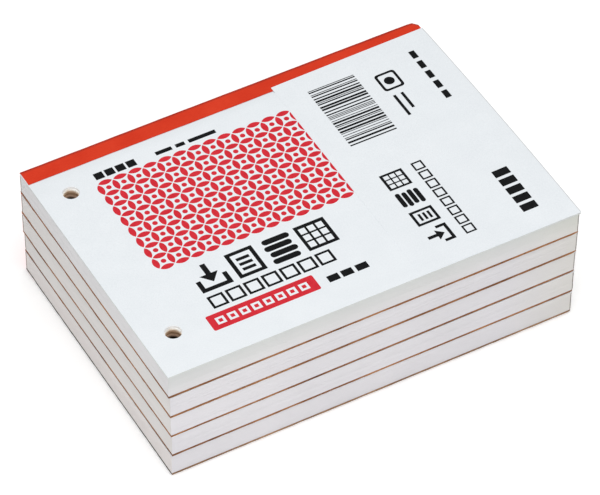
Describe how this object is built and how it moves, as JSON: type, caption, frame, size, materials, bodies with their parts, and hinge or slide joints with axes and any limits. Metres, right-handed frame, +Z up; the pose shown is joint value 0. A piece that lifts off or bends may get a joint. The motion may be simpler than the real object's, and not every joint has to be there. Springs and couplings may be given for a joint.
{
  "type": "deposit slip pad",
  "caption": "Pile of landscape deposit slip pads with red taped spines, brown board backs, filing holes and a loose pack label; the top cover and slips turn or tear off.",
  "frame": {"origin": "middle of the footprint, on the table under the bottom board", "axes": "+X along the long edge, away from the filing holes; +Y to the bound edge with the tape; +Z up"},
  "size_m": [0.1257, 0.0886, 0.0386],
  "materials": {
    "slip_paper": "matte",
    "cover_paper": "matte",
    "backing_board": "matte",
    "binding_tape": "matte",
    "padding_glue": "satin",
    "label_paper": "matte"
  },
  "bodies": {
    "pad_1": {"pad_1_board": "backing_board", "pad_1_slips": "slip_paper", "pad_1_glue": "padding_glue", "pad_1_cover": "cover_paper", "pad_1_tape": "binding_tape"},
    "pad_2": {"pad_2_board": "backing_board", "pad_2_slips": "slip_paper", "pad_2_glue": "padding_glue", "pad_2_cover": "cover_paper", "pad_2_tape": "binding_tape"},
    "pad_3": {"pad_3_board": "backing_board", "pad_3_slips": "slip_paper", "pad_3_glue": "padding_glue", "pad_3_cover": "cover_paper", "pad_3_tape": "binding_tape"},
    "pad_4": {"pad_4_board": "backing_board", "pad_4_slips": "slip_paper", "pad_4_glue": "padding_glue", "pad_4_cover": "cover_paper", "pad_4_tape": "binding_tape"},
    "pad_5": {"pad_5_board": "backing_board", "pad_5_slips": "slip_paper", "pad_5_glue": "padding_glue", "pad_5_tape_spine": "binding_tape"},
    "second_slip": {"pad_5_slip_second": "slip_paper"},
    "first_slip": {"pad_5_slip_first": "slip_paper"},
    "top_cover": {"pad_5_cover": "cover_paper", "pad_5_tape_flap": "binding_tape"},
    "label": {"pack_label": "label_paper"}
  },
  "joints": [
    {"name": "pad_2_lift", "type": "slide", "parent": "pad_1", "child": "pad_2", "axis": [0, 0, 1], "range_m": [0, 0.06]},
    {"name": "pad_3_lift", "type": "slide", "parent": "pad_2", "child": "pad_3", "axis": [0, 0, 1], "range_m": [0, 0.06]},
    {"name": "pad_4_lift", "type": "slide", "parent": "pad_3", "child": "pad_4", "axis": [0, 0, 1], "range_m": [0, 0.06]},
    {"name": "pad_5_lift", "type": "slide", "parent": "pad_4", "child": "pad_5", "axis": [0, 0, 1], "range_m": [0, 0.06]},
    {"name": "second_slip_turn", "type": "hinge", "parent": "pad_5", "child": "second_slip", "pos_m": [-0.0001, 0.04425, 0.03713], "axis": [-1, 0, 0], "range_deg": [0, 25]},
    {"name": "first_slip_tear_off", "type": "slide", "parent": "second_slip", "child": "first_slip", "axis": [-1, 0, 0], "range_m": [0, 0.13]},
    {"name": "cover_turn", "type": "hinge", "parent": "second_slip", "child": "top_cover", "pos_m": [-0.0001, 0.04425, 0.03763], "axis": [-1, 0, 0], "range_deg": [0, 175]},
    {"name": "label_slide", "type": "slide", "parent": "top_cover", "child": "label", "axis": [1, 0, 0], "range_m": [0, 0.055]}
  ]
}
